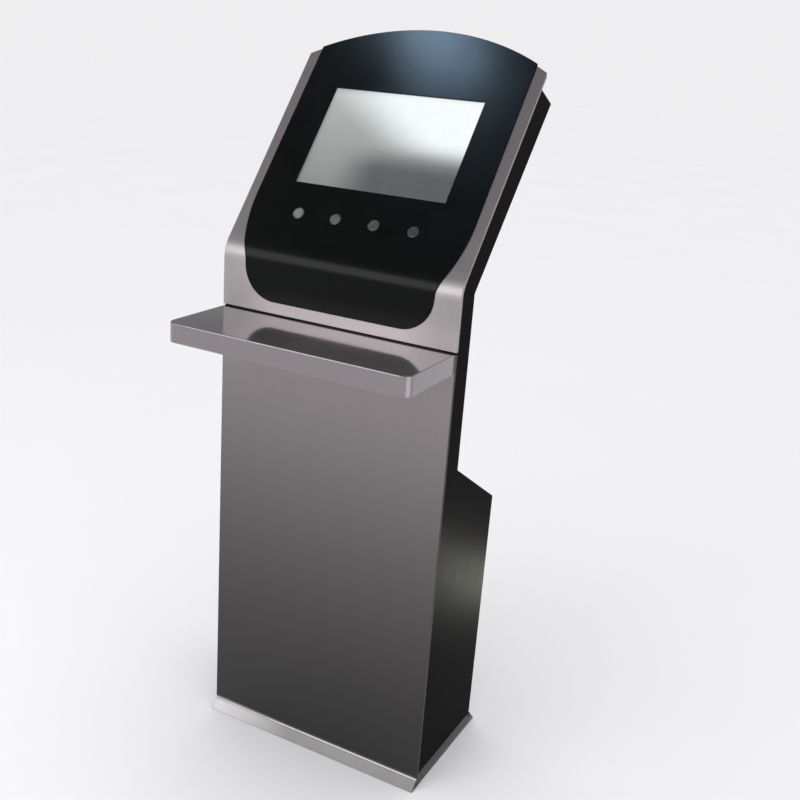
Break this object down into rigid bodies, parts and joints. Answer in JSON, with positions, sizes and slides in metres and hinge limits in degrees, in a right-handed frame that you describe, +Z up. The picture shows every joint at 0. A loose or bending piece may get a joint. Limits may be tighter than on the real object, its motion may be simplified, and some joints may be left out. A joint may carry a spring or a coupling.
{
  "type": "self-service kiosk",
  "caption": "Free-standing self-service kiosk with a leaning arched head, display window, push buttons in a rolled black bezel, and a keyboard shelf.",
  "frame": {"origin": "middle of the bounding box in X and Y, on the floor", "axes": "+X to the kiosk's right as seen from the front, +Y to the back, +Z up"},
  "size_m": [0.528, 0.5744, 1.4983],
  "materials": {
    "silver_steel": "silver sheet steel with a soft sheen, grained along its length",
    "gloss_black": "high-gloss black",
    "black_paint": "gloss black paint on sheet steel",
    "black_foam": "matt closed-cell foam",
    "clear_glass": "clear float glass with polished edges",
    "display_face": "switched-off display, satin",
    "dark_plastic": "moulded, fine matt texture",
    "button_metal": "satin turned metal",
    "dark_case": "dark grey moulding with a fine texture",
    "zinc_steel": "zinc-plated steel"
  },
  "bodies": {
    "kiosk": {"plinth": "silver_steel", "side_panel_left": "black_paint", "side_panel_right": "black_paint", "lower_front_panel": "silver_steel", "head_front_panel": "silver_steel", "bezel": "gloss_black", "keyboard_shelf": "silver_steel", "shelf_brackets": "zinc_steel", "shelf_rail": "zinc_steel", "head_top_cover": "black_paint", "neck_panel": "black_paint", "shoulder_panel": "black_paint", "rear_sill": "black_paint", "cabinet_door_frame": "black_paint", "head_door_frame": "black_paint", "cabinet_hinges": "zinc_steel", "head_hinges": "zinc_steel", "cabinet_door_seal": "black_foam", "head_door_seal": "black_foam", "glass_gasket": "black_foam", "touch_glass": "clear_glass", "lcd_panel": "display_face", "display_housing": "zinc_steel", "display_brackets": "zinc_steel", "button_housings": "zinc_steel", "button_nuts": "zinc_steel", "computer_tray": "zinc_steel", "computer": "dark_case", "power_supply": "dark_plastic", "power_inlet": "dark_plastic", "fan_frame": "dark_plastic", "panel_screws": "zinc_steel"},
    "cabinet_door": {"cabinet_door": "black_paint", "cabinet_lock": "zinc_steel"},
    "head_door": {"head_door": "black_paint", "head_lock": "zinc_steel"},
    "cabinet_lock_cam": {"cabinet_lock_cam": "zinc_steel"},
    "head_lock_cam": {"head_lock_cam": "zinc_steel"},
    "fan_rotor": {"fan_rotor": "dark_plastic"},
    "button_1": {"button_1": "button_metal"},
    "button_2": {"button_2": "button_metal"},
    "button_3": {"button_3": "button_metal"},
    "button_4": {"button_4": "button_metal"}
  },
  "joints": [
    {"name": "button_1_press", "type": "slide", "parent": "kiosk", "child": "button_1", "axis": [0, 0.788, -0.6157], "range_m": [0, 0.0025], "stiffness_N_per_m": 900, "springref_m": -0.003},
    {"name": "button_2_press", "type": "slide", "parent": "kiosk", "child": "button_2", "axis": [0, 0.788, -0.6157], "range_m": [0, 0.0025], "stiffness_N_per_m": 900, "springref_m": -0.003},
    {"name": "button_3_press", "type": "slide", "parent": "kiosk", "child": "button_3", "axis": [0, 0.788, -0.6157], "range_m": [0, 0.0025], "stiffness_N_per_m": 900, "springref_m": -0.003},
    {"name": "button_4_press", "type": "slide", "parent": "kiosk", "child": "button_4", "axis": [0, 0.788, -0.6157], "range_m": [0, 0.0025], "stiffness_N_per_m": 900, "springref_m": -0.003},
    {"name": "cabinet_door_hinge", "type": "hinge", "parent": "kiosk", "child": "cabinet_door", "pos_m": [-0.2485, 0.15081, 0.3205], "axis": [0, 0, 1], "range_deg": [0, 95]},
    {"name": "head_door_hinge", "type": "hinge", "parent": "kiosk", "child": "head_door", "pos_m": [-0.2485, 0.09313, 1.21645], "axis": [0, 0.6521, 0.7581], "range_deg": [0, 95]},
    {"name": "cabinet_lock_turn", "type": "hinge", "parent": "cabinet_door", "child": "cabinet_lock_cam", "pos_m": [0.2195, 0.15681, 0.3205], "axis": [0, -1, 0], "range_deg": [0, 90]},
    {"name": "head_lock_turn", "type": "hinge", "parent": "head_door", "child": "head_lock_cam", "pos_m": [0.2195, 0.09768, 1.21254], "axis": [0, -0.7581, 0.6521], "range_deg": [0, 90]},
    {"name": "fan_spin", "type": "hinge", "parent": "kiosk", "child": "fan_rotor", "pos_m": [0, 0.04887, 0.62414], "axis": [0, 0.5311, 0.8473], "continuous": true}
  ]
}
